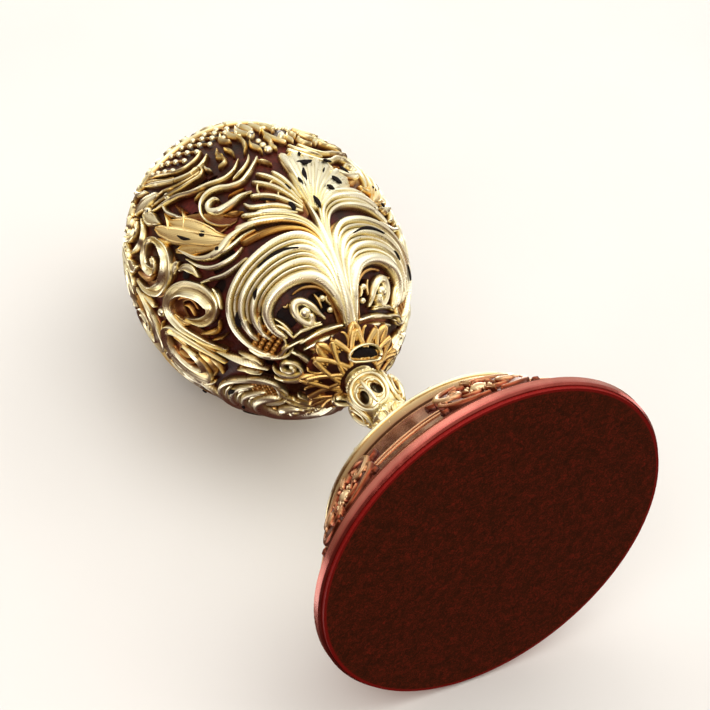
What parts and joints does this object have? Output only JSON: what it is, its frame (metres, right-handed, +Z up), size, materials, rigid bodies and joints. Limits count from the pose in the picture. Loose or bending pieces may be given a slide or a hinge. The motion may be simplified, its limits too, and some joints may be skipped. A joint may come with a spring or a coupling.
{
  "type": "egg-shaped ciborium",
  "caption": "Egg-shaped lidded ciborium: openwork scroll shells over a gilt cup, knopped stem and domed round foot with a felt underside; the upper egg lifts off as the lid.",
  "frame": {"origin": "centre of the felt underside of the foot, on the surface it stands on", "axes": "+Z up along the stem and through both poles of the egg; -Y through the rib of the front palmette"},
  "size_m": [0.1026, 0.1026, 0.177],
  "materials": {
    "gilt": "polished gilt brass, high relief, with darker red-brown recesses",
    "gilt_inner": "smooth polished gilding",
    "ground": "deep maroon-brown translucent lacquer over gilding, glossy",
    "ring": "rose-gold lacquered, polished",
    "felt": "dark burgundy felt",
    "steel": "plain turned hardware"
  },
  "bodies": {
    "vessel": {"base_felt": "felt", "base_plate": "steel", "base_ring": "ring", "foot_shell": "gilt", "foot_cartouches": "gilt", "foot_nut": "steel", "foot_washer": "steel", "tie_rod": "steel", "foot_collar": "gilt", "lower_stem": "gilt", "stem_leaves": "gilt", "knop_lower_ring": "gilt", "knop_core": "gilt", "knop_cage": "gilt", "knop_upper_ring": "gilt", "upper_neck": "gilt", "calyx": "gilt", "bowl_boss": "gilt_inner", "bowl_liner": "gilt_inner", "bowl_openwork": "gilt", "bowl_rim": "gilt_inner", "bowl_pins": "steel"},
    "lid": {"lid_bezel": "gilt_inner", "lid_liner": "gilt_inner", "lid_openwork": "gilt", "lid_pins": "steel", "lid_rosette": "gilt", "lid_stud": "steel", "lid_nut": "steel"}
  },
  "joints": [
    {"name": "lid_lift", "type": "slide", "parent": "vessel", "child": "lid", "axis": [0, 0, 1], "range_m": [0, 0.08]}
  ]
}
